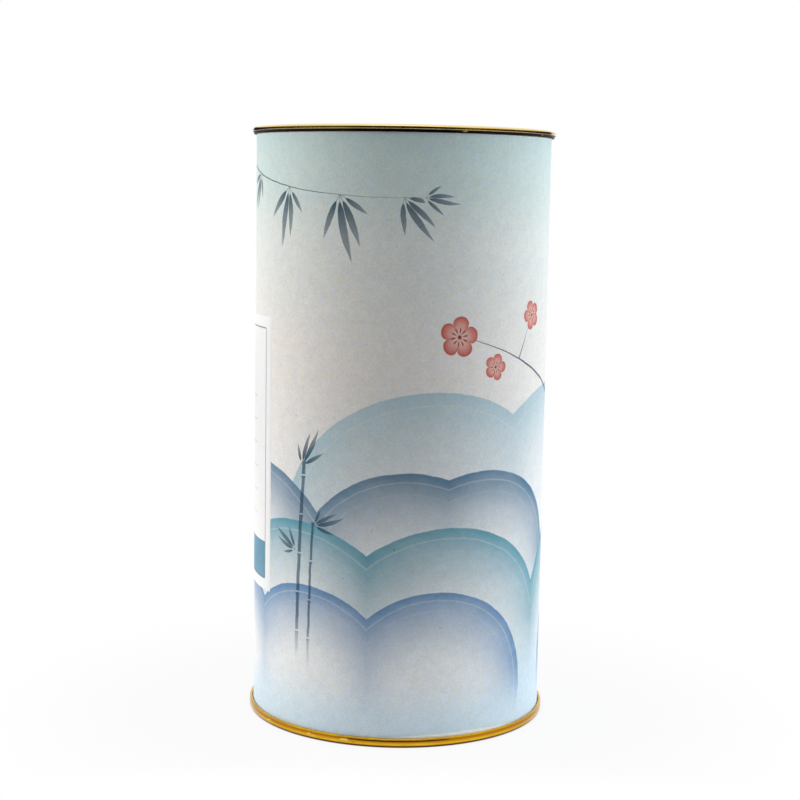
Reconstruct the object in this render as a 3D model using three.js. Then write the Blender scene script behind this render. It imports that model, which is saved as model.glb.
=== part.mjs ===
import * as THREE from 'three';

// A paper can with tinplate ends and a plug lid. Millimetres, +Z up.
// The can stands on z = 0 with its axis on Z, and its front faces -Y.

// Driving dimensions of the whole can
const canHeight = 200; // standing edge to top edge
const bodyDiameter = 100; // over the printed wrap

// Paper wall, from the outside in
const labelThickness = 0.12;
const wrapThickness = 0.2;
const boardThickness = 0.3; // one ply
const linerThickness = 0.15; // foil laminate
const glueLine = 0.05; // between one layer of paper and the next
const overlapLength = 9; // where the wrap is glued over its own start
const rampLength = 5; // over which the wrap rises onto its start
const overlapLead = 1; // by which it has risen before it gets there
const overlapAngle = 120; // degrees to the right of the front where the overlap starts
const labelEdgeAngle = -58.5; // degrees to the right of the front of the label's nearer edge
const labelWidth = 70; // along the wall
const labelHeight = 92.5;
const labelRise = 45; // of the label's lower edge above the standing edge

// Double seam at each end
const tinThickness = 0.2; // lacquered tinplate
const seamClearance = 0.08; // between tinplate and paper
const seamBend = 0.7; // bend radius of the tinplate at both corners of a seam
const compoundThickness = 0.25;
const wrapTuck = 1.2; // how far the wrap reaches under a seam

// Outer face of the bottom seam, which has a groove and a lip
const bottomSeamHeight = 3;
const lipHeight = 0.7;
const grooveDepth = 0.2;
const grooveTaper = 0.66; // height over which the groove goes in
const grooveStep = 0.08; // height over which it steps out to the lip

// Outer face of the top seam, which has a bead and a skirt set in under it
const topSeamHeight = 2.4;
const beadHeight = 1.42;
const beadFlare = 0.1; // by which the lower edge of the bead flares out
const flareHeight = 0.22;
const skirtInset = 0.44;
const skirtSlope = 0.18; // height over which the bead steps in to the skirt

// Top ring
const ringDepth = 7; // from the top edge down to the floor of the pry groove
const pryGroove = 3; // between the lid's edge and the wall of the top ring
const shoulderHeight = 2.4; // of the raised edge around the mouth
const shoulderBend = 0.9;
const shoulderGap = 0.6; // between the lid's curl and the shoulder
const seatLength = 6; // of the wall that grips the lid
const curlRadius = 0.6; // of the curled edges of the lid and the seat

// Plug lid
const lidClearance = 0.15; // between the plug and the seat
const lidRest = 0.1; // between the lid's flange and the shoulder
const plugDepth = 8;
const plugBend = 1.2;
const lidPanelRaise = 1.2; // of the lid's middle above its floor
const ribHeight = 0.6; // of the pressed rings
const ribWidth = 3;
const lidPanelShare = 0.85; // of the plug's radius, where the raised middle ends
const lidRibShare = 0.6; // of the raised middle's radius, where its pressed ring is

// Bottom end
const bottomDepth = 4.4; // from the standing edge up to the bottom's moat
const bottomPanelDrop = 1; // of the bottom's middle below its moat
const moatWidth = 1.8;
const innerRibShare = 0.45; // of the bottom panel's radius, where its inner pressed ring is
const outerRibShare = 0.8; // where its outer pressed ring is

const facets = 40; // flat sides of every round piece
const bendStep = Math.PI / 4; // turn between two points of a bend
const samePoint = 1e-4; // closer points count as one

// Radii of the paper wall
const degreesPerMillimetre = 360 / (Math.PI * bodyDiameter); // around the outside of the wrap
const wrapOuter = bodyDiameter / 2;
const wrapInner = wrapOuter - wrapThickness;
const overlapInner = wrapOuter + glueLine;
const overlapOuter = overlapInner + wrapThickness;
const outerPlyOuter = wrapInner - glueLine;
const outerPlyMiddle = outerPlyOuter - boardThickness / 2;
const middlePlyOuter = outerPlyOuter - boardThickness - glueLine;
const innerPlyOuter = middlePlyOuter - boardThickness - glueLine;
const linerOuter = innerPlyOuter - boardThickness - glueLine;
const linerInner = linerOuter - linerThickness;

// Radii of the seams, on the middle of each layer
const halfTin = tinThickness / 2;
const chuckMiddle = linerInner - seamClearance - halfTin;
const coverHookMiddle = overlapOuter + seamClearance + halfTin;
const bodyHookMiddle = coverHookMiddle + halfTin + seamClearance + boardThickness / 2;
const grooveMiddle = bodyHookMiddle + boardThickness / 2 + seamClearance + halfTin;
const bandMiddle = grooveMiddle + grooveDepth;
const lipMiddle = grooveMiddle + grooveDepth / 2;

// Depths of the seams, from the end of the can towards its middle
const compoundDepth = tinThickness + seamClearance;
const flangeDepth = compoundDepth + compoundThickness + seamClearance + boardThickness / 2;
const coverHookTip = flangeDepth + boardThickness / 2 + 3 * seamClearance;
const bandDepth = halfTin + seamBend; // where the outer corner of a seam ends

// A line through corners [radius, depth, bend], each corner rounded to its bend radius
function bentLine(corners) {
  const points = corners.map(([radius, depth]) => new THREE.Vector2(radius, depth));
  const line = [];
  const add = (point) => {
    const last = line[line.length - 1];
    if (!last || last.distanceTo(point) > samePoint) line.push(point);
  };
  points.forEach((corner, index) => {
    const bend = corners[index][2] ?? 0;
    if (bend <= 0) {
      add(corner);
      return;
    }
    const back = points[index - 1].clone().sub(corner).normalize();
    const ahead = points[index + 1].clone().sub(corner).normalize();
    const turn = Math.PI - Math.acos(THREE.MathUtils.clamp(back.dot(ahead), -1, 1));
    const side = Math.sign(ahead.cross(back));
    const centre = back.clone().add(ahead).normalize().multiplyScalar(bend / Math.cos(turn / 2)).add(corner);
    const start = back.clone().multiplyScalar(bend * Math.tan(turn / 2)).add(corner);
    const steps = Math.max(1, Math.round(turn / bendStep));
    for (let step = 0; step <= steps; step += 1) {
      add(start.clone().rotateAround(centre, (side * turn * step) / steps));
    }
  });
  return line;
}

// The outline of a strip of even thickness that follows a line
function stripOutline(line, thickness) {
  const last = line.length - 1;
  const nearSide = [];
  const farSide = [];
  line.forEach((point, index) => {
    const arriving = point.clone().sub(line[Math.max(index - 1, 0)]);
    const leaving = line[Math.min(index + 1, last)].clone().sub(point);
    const first = (index === 0 ? leaving : arriving).clone().normalize();
    const second = (index === last ? arriving : leaving).clone().normalize();
    const along = first.clone().add(second).normalize();
    const reach = thickness / 2 / along.dot(first);
    const across = new THREE.Vector2(-along.y, along.x).multiplyScalar(reach);
    nearSide.push(point.clone().add(across));
    farSide.unshift(point.clone().sub(across));
  });
  return [...nearSide, ...farSide];
}

// The outline of a plain tube or ring between two radii and two depths
function tubeOutline(inner, outer, low, high) {
  return [
    new THREE.Vector2(inner, low),
    new THREE.Vector2(outer, low),
    new THREE.Vector2(outer, high),
    new THREE.Vector2(inner, high),
  ];
}

// An outline given as depths below the top edge, turned into heights
function fromTop(outline) {
  return outline.map((point) => new THREE.Vector2(point.x, canHeight - point.y));
}

// A solid of revolution about Z from an outline of radii and heights
function turned(outline) {
  const profile = THREE.ShapeUtils.area(outline) > 0 ? [...outline] : [...outline].reverse();
  const axisStart = profile.findIndex((point, index) => {
    const before = profile[(index + profile.length - 1) % profile.length];
    return point.x < samePoint && before.x < samePoint;
  });
  const ordered = axisStart < 0
    ? [...profile, profile[0]]
    : [...profile.slice(axisStart), ...profile.slice(0, axisStart)];
  const geometry = new THREE.LatheGeometry(ordered, facets);
  geometry.rotateX(Math.PI / 2);
  return geometry;
}

// A point of the many-sided outline of a round piece, at an angle to the right of the front
function facetPoint(radius, angle) {
  const facetAngle = 360 / facets;
  const facetMiddle = (Math.floor(angle / facetAngle) + 0.5) * facetAngle;
  const flatRadius = radius * Math.cos(THREE.MathUtils.degToRad(facetAngle / 2));
  const reach = flatRadius / Math.cos(THREE.MathUtils.degToRad(angle - facetMiddle));
  const turn = THREE.MathUtils.degToRad(angle);
  return new THREE.Vector2(reach * Math.sin(turn), -reach * Math.cos(turn));
}

// Angles from one to another, with every facet edge between them
function facetAngles(from, to) {
  const facetAngle = 360 / facets;
  const angles = [from];
  for (let edge = Math.floor(from / facetAngle) + 1; edge * facetAngle < to; edge += 1) {
    angles.push(edge * facetAngle);
  }
  return [...angles, to];
}

// A sheet that follows the wall, as stops of [angle, inner radius], between two heights
function wallSheet(stops, thickness, low, high) {
  const outside = stops.map(([angle, radius]) => facetPoint(radius + thickness, angle));
  const inside = stops.map(([angle, radius]) => facetPoint(radius, angle));
  const shape = new THREE.Shape([...outside, ...inside.reverse()]);
  const geometry = new THREE.ExtrudeGeometry(shape, { depth: high - low, bevelEnabled: false });
  geometry.translate(0, 0, low);
  return geometry;
}

// The tinplate of a double seam, from the wall inside the can to the tip of the cover hook.
// The face is the line of its outer side, from the bend at the end of the can to the turn.
function seamCorners(seamHeight, face) {
  const turnDepth = seamHeight - halfTin;
  const outermost = face[0][0];
  const innermost = face[face.length - 1][0];
  const turnRadius = turnBend(innermost);
  return [
    [chuckMiddle, halfTin, seamBend],
    [outermost, halfTin, seamBend],
    ...face,
    [innermost, turnDepth, turnRadius],
    [coverHookMiddle, turnDepth, turnRadius],
    [coverHookMiddle, coverHookTip],
  ];
}

// Bend radius of the turn from the outer side of a seam back up to the cover hook
function turnBend(radius) {
  return (radius - coverHookMiddle) / 2;
}

function bottomSeamCorners() {
  const lipDepth = bottomSeamHeight - lipHeight;
  const deepest = lipDepth - grooveStep;
  return seamCorners(bottomSeamHeight, [
    [bandMiddle, Math.max(bandDepth, deepest - grooveTaper)],
    [grooveMiddle, deepest],
    [lipMiddle, lipDepth],
  ]);
}

function topSeamCorners() {
  return seamCorners(topSeamHeight, [
    [bandMiddle - beadFlare, Math.max(bandDepth, beadHeight - flareHeight)],
    [bandMiddle, beadHeight],
    [bandMiddle - skirtInset, beadHeight + skirtSlope],
  ]);
}

// A pressed ring in a flat panel, which stands out towards the end of the can
function ribCorners(radius, depth) {
  const half = ribWidth / 2;
  const slope = ribHeight;
  return [
    [radius - half - slope, depth],
    [radius - half, depth - ribHeight],
    [radius + half, depth - ribHeight],
    [radius + half + slope, depth],
  ];
}

// The ring of sealing compound under the flat of a seam
function compoundOutline() {
  const inner = chuckMiddle + seamBend;
  const outer = bandMiddle - seamBend;
  return tubeOutline(inner, outer, compoundDepth, compoundDepth + compoundThickness);
}

// The outer ply runs the whole height, and its ends fold outwards as the body hooks
function outerPlyOutline() {
  const flangeReach = bodyHookMiddle - outerPlyMiddle;
  const hookBend = THREE.MathUtils.clamp(seamBend - (bandMiddle - bodyHookMiddle), 0, flangeReach);
  const lowerTip = bottomSeamHeight - halfTin - turnBend(lipMiddle) - seamClearance;
  const upperTip = beadHeight - seamClearance;
  return stripOutline(bentLine([
    [bodyHookMiddle, lowerTip],
    [bodyHookMiddle, flangeDepth, hookBend],
    [outerPlyMiddle, flangeDepth],
    [outerPlyMiddle, canHeight - flangeDepth],
    [bodyHookMiddle, canHeight - flangeDepth, hookBend],
    [bodyHookMiddle, canHeight - upperTip],
  ]), boardThickness);
}

// The wrap goes once around the wall and then over its own start
function wrapGeometry() {
  const end = overlapAngle + 360;
  const rampEnd = end - overlapLead * degreesPerMillimetre;
  const rampStart = rampEnd - rampLength * degreesPerMillimetre;
  const flapEnd = end + overlapLength * degreesPerMillimetre;
  const angles = [
    ...facetAngles(overlapAngle, rampStart),
    ...facetAngles(rampStart, rampEnd).slice(1),
    ...facetAngles(rampEnd, flapEnd).slice(1),
  ];
  const radiusAt = (angle) => THREE.MathUtils.mapLinear(
    THREE.MathUtils.clamp(angle, rampStart, rampEnd), rampStart, rampEnd, wrapInner, overlapInner);
  const stops = angles.map((angle) => [angle, radiusAt(angle)]);
  const lowerEdge = bottomSeamHeight - wrapTuck;
  const upperEdge = canHeight - topSeamHeight + wrapTuck;
  return wallSheet(stops, wrapThickness, lowerEdge, upperEdge);
}

// The label lies on the wrap, to the left of the front
function labelGeometry() {
  const farEdgeAngle = labelEdgeAngle - labelWidth * degreesPerMillimetre;
  const stops = facetAngles(farEdgeAngle, labelEdgeAngle).map((angle) => [angle, overlapInner]);
  return wallSheet(stops, labelThickness, labelRise, labelRise + labelHeight);
}

// The bottom end: a flat panel with two pressed rings, a moat, and the seam
function bottomOutline() {
  const moatOuter = chuckMiddle;
  const moatInner = moatOuter - moatWidth;
  const panelDepth = bottomDepth - bottomPanelDrop;
  const panelEdge = moatInner - bottomPanelDrop;
  return stripOutline(bentLine([
    [0, panelDepth],
    ...ribCorners(innerRibShare * panelEdge, panelDepth),
    ...ribCorners(outerRibShare * panelEdge, panelDepth),
    [panelEdge, panelDepth],
    [moatInner, bottomDepth],
    [moatOuter, bottomDepth, seamBend],
    ...bottomSeamCorners(),
  ]), tinThickness);
}

// Radii and depths that the top ring and the lid share
const lidEdge = chuckMiddle - halfTin - pryGroove;
const lidCurlInner = lidEdge - halfTin - 2 * curlRadius;
const shoulderOuter = lidCurlInner - halfTin - shoulderGap - halfTin;
const seatMiddle = shoulderOuter - 2 * shoulderBend;
const shoulderTop = ringDepth - shoulderHeight;
const plugMiddle = seatMiddle - tinThickness - lidClearance;
const flangeTop = shoulderTop - tinThickness - lidRest;

// The top ring: a curled seat for the lid, a shoulder, the pry groove, and the seam
function ringOutline() {
  const seatEnd = shoulderTop + seatLength;
  const curlOuter = seatMiddle + 2 * curlRadius;
  return stripOutline(bentLine([
    [seatMiddle + curlRadius, seatEnd - 2 * curlRadius],
    [curlOuter, seatEnd - 2 * curlRadius, curlRadius],
    [curlOuter, seatEnd, curlRadius],
    [seatMiddle, seatEnd, curlRadius],
    [seatMiddle, shoulderTop, shoulderBend],
    [shoulderOuter, shoulderTop, shoulderBend],
    [shoulderOuter, ringDepth, shoulderBend],
    [chuckMiddle, ringDepth, seamBend],
    ...topSeamCorners(),
  ]), tinThickness);
}

// The lid: a raised middle with a pressed ring, the plug wall, the flange, and the curled edge
function lidOutline() {
  const floorDepth = flangeTop + plugDepth;
  const panelDepth = floorDepth - lidPanelRaise;
  const panelEdge = lidPanelShare * plugMiddle;
  const curlOuter = lidEdge - halfTin;
  return stripOutline(bentLine([
    [0, panelDepth],
    ...ribCorners(lidRibShare * panelEdge, panelDepth),
    [panelEdge, panelDepth],
    [panelEdge + lidPanelRaise, floorDepth],
    [plugMiddle, floorDepth, plugBend],
    [plugMiddle, flangeTop, shoulderBend],
    [curlOuter, flangeTop, curlRadius],
    [curlOuter, flangeTop + 2 * curlRadius, curlRadius],
    [lidCurlInner, flangeTop + 2 * curlRadius, curlRadius],
    [lidCurlInner, flangeTop + curlRadius],
  ]), tinThickness);
}

const tinplate = new THREE.MeshStandardMaterial({ color: 0xcf9f33, roughness: 0.28, metalness: 1 });
const foil = new THREE.MeshStandardMaterial({ color: 0xc8cacb, roughness: 0.35, metalness: 1 });
const board = new THREE.MeshStandardMaterial({ color: 0xb59772, roughness: 0.9, metalness: 0 });
const printedPaper = new THREE.MeshStandardMaterial({ color: 0xc4d4d8, roughness: 0.75, metalness: 0 });
const labelPaper = new THREE.MeshStandardMaterial({ color: 0xf2f1ee, roughness: 0.6, metalness: 0 });
const compound = new THREE.MeshStandardMaterial({ color: 0x8d9088, roughness: 0.8, metalness: 0 });

const can = new THREE.Group();

function addPiece(name, geometry, material) {
  const mesh = new THREE.Mesh(geometry, material);
  mesh.name = name;
  can.add(mesh);
}

function plyGeometry(outer, thickness) {
  return turned(tubeOutline(outer - thickness, outer, bandDepth, canHeight - bandDepth));
}

addPiece('foil_liner', plyGeometry(linerOuter, linerThickness), foil);
addPiece('inner_board_ply', plyGeometry(innerPlyOuter, boardThickness), board);
addPiece('middle_board_ply', plyGeometry(middlePlyOuter, boardThickness), board);
addPiece('outer_board_ply', turned(outerPlyOutline()), board);
addPiece('printed_wrap', wrapGeometry(), printedPaper);
addPiece('side_label', labelGeometry(), labelPaper);
addPiece('bottom_end', turned(bottomOutline()), tinplate);
addPiece('bottom_sealing_compound', turned(compoundOutline()), compound);
addPiece('top_ring', turned(fromTop(ringOutline())), tinplate);
addPiece('top_sealing_compound', turned(fromTop(compoundOutline())), compound);
addPiece('plug_lid', turned(fromTop(lidOutline())), tinplate);

export default can;
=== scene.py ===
import math
from functools import partialmethod

import bmesh
import bpy
from mathutils import Matrix, Vector


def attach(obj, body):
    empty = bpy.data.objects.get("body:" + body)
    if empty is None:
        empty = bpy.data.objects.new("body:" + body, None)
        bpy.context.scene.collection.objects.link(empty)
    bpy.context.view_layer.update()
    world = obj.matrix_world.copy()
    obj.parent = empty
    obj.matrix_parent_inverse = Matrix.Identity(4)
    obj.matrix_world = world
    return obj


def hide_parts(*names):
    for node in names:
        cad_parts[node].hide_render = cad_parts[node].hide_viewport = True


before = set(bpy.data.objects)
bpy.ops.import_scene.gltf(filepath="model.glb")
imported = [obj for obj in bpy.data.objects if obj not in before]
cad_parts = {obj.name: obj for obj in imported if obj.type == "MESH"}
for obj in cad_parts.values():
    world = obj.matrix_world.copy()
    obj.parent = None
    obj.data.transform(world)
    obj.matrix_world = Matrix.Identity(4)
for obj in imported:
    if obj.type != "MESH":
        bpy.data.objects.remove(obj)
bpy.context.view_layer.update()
scene = bpy.context.scene
scene.view_settings.view_transform = "Standard"
print("frame loaded:", len(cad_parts), "nodes")

mm = 0.001

# sizes of the whole can in millimetres, the same as its solids
can = {
    "height": 200.0,
    "bodyRadius": 50.0,
    "wrap": 0.2,
    "board": 0.3,
    "liner": 0.15,
    "glue": 0.05,
    "tin": 0.2,
    "gap": 0.08,  # between tinplate and paper in a seam
    "compound": 0.25,
    "segments": 256,  # around every turned piece
    "bendStep": 12.0,  # degrees between two points of a bend
    "leastStep": 0.05,  # degrees between two points around it
    "knockShape": 0.3,  # height of a knock as a share of its width
    "knockSteps": 8,  # points on each side of a knock
    "crease": 40.0,  # degrees past which an edge stays sharp
}
halfTin = can["tin"] / 2
halfBoard = can["board"] / 2
wrapInner = can["bodyRadius"] - can["wrap"]
overlapInner = can["bodyRadius"] + can["glue"]
overlapOuter = overlapInner + can["wrap"]
outerPlyOuter = wrapInner - can["glue"]
middlePlyOuter = outerPlyOuter - can["board"] - can["glue"]
innerPlyOuter = middlePlyOuter - can["board"] - can["glue"]
linerOuter = innerPlyOuter - can["board"] - can["glue"]
linerInner = linerOuter - can["liner"]


# colours are written as screen values from 0 to 255 and turned into linear light
def ink(red, green, blue):
    def linear(value):
        part = value / 255
        return part / 12.92 if part <= 0.04045 else ((part + 0.055) / 1.055) ** 2.4
    return (linear(red), linear(green), linear(blue), 1.0)


# a node socket that takes part in arithmetic
class Wire:
    def __init__(self, tree, socket):
        self.tree = tree
        self.socket = socket

    def into(self, kind, *others, **settings):
        node = addNode(self.tree, kind, dict(enumerate((self, *others))), **settings)
        return Wire(self.tree, node.outputs[0])

    def math(self, operation, *others, clamp=False):
        return self.into("ShaderNodeMath", *others, operation=operation, use_clamp=clamp)

    __add__ = partialmethod(math, "ADD")
    __sub__ = partialmethod(math, "SUBTRACT")
    __mul__ = partialmethod(math, "MULTIPLY")
    __truediv__ = partialmethod(math, "DIVIDE")
    __pow__ = partialmethod(math, "POWER")
    __abs__ = partialmethod(math, "ABSOLUTE")
    max = partialmethod(math, "MAXIMUM")
    min = partialmethod(math, "MINIMUM")

    def clamp(self):
        return self.math("ADD", 0.0, clamp=True)

    def below(self, other, soft):  # 1 well below the other value, 0 well above it
        return ((self - other) / soft * -0.5 + 0.5).clamp()

    def ramp(self, low, high, toLow=0.0, toHigh=1.0, kind="SMOOTHSTEP"):
        return self.into("ShaderNodeMapRange", low, high, toLow, toHigh, interpolation_type=kind)


def feed(tree, slot, value):
    if isinstance(value, Wire):
        tree.links.new(value.socket, slot)
    elif isinstance(value, bpy.types.NodeSocket):
        tree.links.new(value, slot)
    else:
        slot.default_value = value


def addNode(tree, kind, inputs=None, **settings):
    node = tree.nodes.new(kind)
    for name, value in settings.items():
        setattr(node, name, value)
    for name, value in (inputs or {}).items():
        feed(tree, node.inputs[name], value)
    return node


def noise(tree, vector, scale, detail=2.0, roughness=0.5):
    node = addNode(tree, "ShaderNodeTexNoise",
                   {"Vector": vector, "Scale": scale, "Detail": detail, "Roughness": roughness})
    return Wire(tree, node.outputs["Fac"])


def mixColour(tree, factor, first, second, blend="MIX"):
    node = addNode(tree, "ShaderNodeMix", {0: factor, 6: first, 7: second},
                   data_type="RGBA", blend_type=blend, clamp_factor=True)
    return node.outputs[2]


def stretch(tree, vector, x, y, z):
    return addNode(tree, "ShaderNodeVectorMath", {0: vector, 1: (x, y, z)}, operation="MULTIPLY").outputs[0]


def split(tree, vector):
    node = addNode(tree, "ShaderNodeSeparateXYZ", {0: vector})
    return [Wire(tree, socket) for socket in node.outputs]


def join(tree, x, y, z=0.0):
    return addNode(tree, "ShaderNodeCombineXYZ", {0: x, 1: y, 2: z}).outputs[0]


def lengthOf(x, y):
    return (x * x + y * y).math("SQRT")


def turnVector(tree, vector, degrees):
    node = addNode(tree, "ShaderNodeVectorRotate", {"Vector": vector, "Angle": math.radians(degrees)},
                   rotation_type="Z_AXIS")
    return node.outputs[0]


def startGroup(name, inputs, outputs, kind="ShaderNodeTree"):
    tree = bpy.data.node_groups.new(name, kind)
    for way, sockets in (("INPUT", inputs), ("OUTPUT", outputs)):
        for label, sort in sockets.items():
            tree.interface.new_socket(label, in_out=way, socket_type="NodeSocket" + sort)
    source = tree.nodes.new("NodeGroupInput")
    wires = {label: Wire(tree, source.outputs[label]) for label in inputs}
    sink = tree.nodes.new("NodeGroupOutput")
    return tree, wires, sink


def endGroup(tree, sink, **results):
    for label, value in results.items():
        feed(tree, sink.inputs[label], value)
    return tree


def useGroup(tree, group, **values):
    node = addNode(tree, "ShaderNodeGroup", values, node_tree=group)
    return {socket.name: Wire(tree, socket) for socket in node.outputs}


# Shader groups

def shadeBy(tree, colour, value):
    return mixColour(tree, 1.0, colour, join(tree, value, value, value), "MULTIPLY")


# place on the wall in millimetres: Along from the front to the right, Up from the standing edge
def makeWallPlane():
    tree, given, sink = startGroup("wallPlane", {"Vector": "Vector"},
                                   {"Along": "Float", "Up": "Float", "Plane": "Vector"})
    turn = 180.0 - wrapSheet["edgeAngle"]  # the print is cut where the overlap ends
    x, y, z = split(tree, turnVector(tree, given["Vector"], turn))
    angle = x.math("ARCTAN2", y * -1.0) - math.radians(turn)
    along = angle * can["bodyRadius"]
    up = z / mm
    return endGroup(tree, sink, Along=along, Up=up, Plane=join(tree, along, up))


# coordinates inside a motif that stands at (along, up, turn in degrees, size) on the plane
def insideMotif(tree, plane, spot):
    along, up, turn, size = spot
    node = addNode(tree, "ShaderNodeMapping",
                   {"Vector": plane, "Location": (along, up, 0.0), "Rotation": (0.0, 0.0, math.radians(turn)),
                    "Scale": (size, size, 1.0)}, vector_type="TEXTURE")
    return node.outputs[0]


# coordinates inside the nearest of several motifs, measured from the middle of each
def insideNearest(tree, plane, spots, middle):
    best, least = None, None
    for spot in spots:
        local = insideMotif(tree, plane, spot)
        gap = addNode(tree, "ShaderNodeVectorMath", {0: local, 1: middle}, operation="DISTANCE")
        gap = Wire(tree, gap.outputs["Value"]) * spot[3]
        if best is None:
            best, least = local, gap
            continue
        pick = addNode(tree, "ShaderNodeMix", {0: gap.math("LESS_THAN", least), 4: best, 5: local},
                       data_type="VECTOR")
        best, least = pick.outputs[1], least.min(gap)
    return best


# mottled shade, specks and tooth of uncoated paper, laid over a colour
def makePaperGrain():
    tree, given, sink = startGroup(
        "paperGrain",
        {"Vector": "Vector", "Colour": "Color", "Amount": "Float", "Speck": "Float"},
        {"Colour": "Color", "Height": "Float"})
    spot = given["Vector"]
    cloud = noise(tree, spot, 330.0, 4.0, 0.65)
    tooth = noise(tree, spot, 1500.0, 3.0, 0.6)
    warm = noise(tree, stretch(tree, spot, 1.0, 1.0, -1.0), 640.0, 4.0, 0.7)
    ragged = cloud * 0.05 - 0.02
    cells = addNode(tree, "ShaderNodeTexVoronoi", {"Vector": spot, "Scale": 120.0})
    speck = (Wire(tree, cells.outputs["Distance"]) + ragged).below(0.042, 0.02)
    chance = split(tree, cells.outputs["Color"])[0].ramp(0.35, 0.9)
    mottle = ((cloud - 0.5) * 0.2 + (tooth - 0.5) * 0.36) * given["Amount"]
    shade = mottle - speck * chance * given["Speck"] + 1.0
    tint = mixColour(tree, warm.ramp(0.36, 0.64), (1.024, 1.0, 0.945, 1.0), (0.97, 1.0, 1.042, 1.0))
    tinted = mixColour(tree, 1.0, given["Colour"], tint, "MULTIPLY")
    return endGroup(tree, sink, Colour=shadeBy(tree, tinted, shade), Height=tooth + cloud * 0.6)


# rolling grain, rubbed edges and fine scratches of lacquered sheet metal
def makeTinWear():
    tree, given, sink = startGroup("tinWear", {"Vector": "Vector", "Amount": "Float"},
                                   {"Rub": "Float", "Smear": "Float", "Height": "Float"})
    spot = given["Vector"]
    x, y, z = split(tree, spot)
    around = x.math("ARCTAN2", y) * (can["bodyRadius"] * mm)
    ring = join(tree, around, lengthOf(x, y), z)
    smear = noise(tree, spot, 90.0, 3.0, 0.6)
    lines = noise(tree, stretch(tree, ring, 40.0, 5200.0, 5200.0), 1.0, 2.0, 0.5)
    scratch = noise(tree, stretch(tree, turnVector(tree, spot, 31.0), 2600.0, 55.0, 900.0), 1.0, 2.0, 0.6)
    patch = noise(tree, spot, 420.0, 2.0, 0.6)
    rub = (scratch.ramp(0.66, 0.72) + patch.ramp(0.68, 0.76) * 0.8) * given["Amount"]
    height = lines * 0.5 + scratch.ramp(0.62, 0.74) * -0.6 + smear * 0.3
    return endGroup(tree, sink, Rub=rub.clamp(), Smear=smear, Height=height)


# one spray of narrow leaves on short stalks, drawn in ink on a plane in millimetres
leafSpray = {
    "leaves": ((-41.0, 14.0, 1.05), (-10.0, 20.0, 1.3), (16.0, 16.5, 1.15), (47.0, 10.5, 0.85)),
    "stalk": 2.0,
    "stem": 0.14,  # half width of a stalk
    "fullness": 3.3,
    "bow": 0.007,
    "edge": 0.16,
}


def makeLeafSpray():
    tree, given, sink = startGroup("leafSpray", {"Local": "Vector"}, {"Ink": "Float"})
    stalk = leafSpray["stalk"]
    total = None
    for degrees, length, width in leafSpray["leaves"]:
        x, y, _ = split(tree, turnVector(tree, given["Local"], -degrees))
        off = abs(y + (x * x) * math.copysign(leafSpray["bow"], degrees))
        share = (x - stalk) / (length - stalk)
        half = (share ** 0.7) * ((share * -1.0 + 1.0) ** 1.05) * (leafSpray["fullness"] * width)
        leaf = ((half - off) / leafSpray["edge"]).clamp() * (share * -0.4 + 1.0)
        stem = ((off * -1.0 + leafSpray["stem"]) / leafSpray["edge"]).clamp() * x.math("GREATER_THAN", 0.0)
        stem = stem * x.math("LESS_THAN", stalk + 0.6)
        leaf = leaf.max(stem)
        total = leaf if total is None else total.max(leaf)
    return endGroup(tree, sink, Ink=total)


# a bank of round clouds with a crisp rim that fades into mist
def makeCloudBank():
    tree, given, sink = startGroup(
        "cloudBank",
        {name: "Float" for name in ("Along", "Up", "Pitch", "Shift", "Radius", "Base", "Depth")},
        {"Cover": "Float", "Rim": "Float", "Line": "Float"})
    cells = addNode(tree, "ShaderNodeTexVoronoi",
                    {"W": given["Along"] / given["Pitch"] + given["Shift"], "Scale": 1.0, "Randomness": 0.75},
                    voronoi_dimensions="1D")
    aside = Wire(tree, cells.outputs["Distance"]) * given["Pitch"]
    lift = given["Up"] - given["Base"]
    inset = given["Radius"] - lengthOf(aside, lift)
    body = (inset / 0.25 + 0.5).clamp()
    foot = lift.ramp(given["Radius"] * -0.35, given["Radius"] * 0.3)
    rim = ((inset / given["Depth"]) * -1.0 + 1.0).clamp() ** 1.4
    line = abs(inset - given["Radius"] * 0.075).below(0.16, 0.25)
    inner = abs(inset - given["Radius"] * 0.17).below(0.1, 0.25) * 0.6
    return endGroup(tree, sink, Cover=body * foot, Rim=rim, Line=line.max(inner))


# a round flower of five petals
def makeBlossom():
    tree, given, sink = startGroup("blossom", {"Local": "Vector"},
                                   {"Petal": "Float", "Edge": "Float", "Heart": "Float"})
    x, y, _ = split(tree, given["Local"])
    radius = lengthOf(x, y)
    angle = y.math("ARCTAN2", x)
    lobe = abs((angle * 2.5).math("COSINE"))
    outline = (lobe ** 0.45) * 0.42 + 0.58
    petal = ((outline - radius) / 0.04).clamp()
    edge = (radius / outline) ** 1.6
    spokes = (angle * 10.0).math("COSINE").ramp(0.35, 0.8)
    stamens = abs(radius - 0.3).below(0.12, 0.06) * spokes
    heart = stamens.max(radius.below(0.1, 0.05))
    return endGroup(tree, sink, Petal=petal, Edge=edge, Heart=heart)


def startMaterial(name):
    material = bpy.data.materials.new(name)
    material.use_nodes = True
    tree = material.node_tree
    shader = tree.nodes["Principled BSDF"]
    spot = addNode(tree, "ShaderNodeTexCoord").outputs["Object"]
    return material, tree, shader, spot


def dress(tree, shader, colour, roughness, relief, strength, depth):
    bump = addNode(tree, "ShaderNodeBump", {"Height": relief, "Strength": strength, "Distance": depth})
    for name, value in (("Base Color", colour), ("Roughness", roughness), ("Normal", bump.outputs[0])):
        feed(tree, shader.inputs[name], value)


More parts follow.
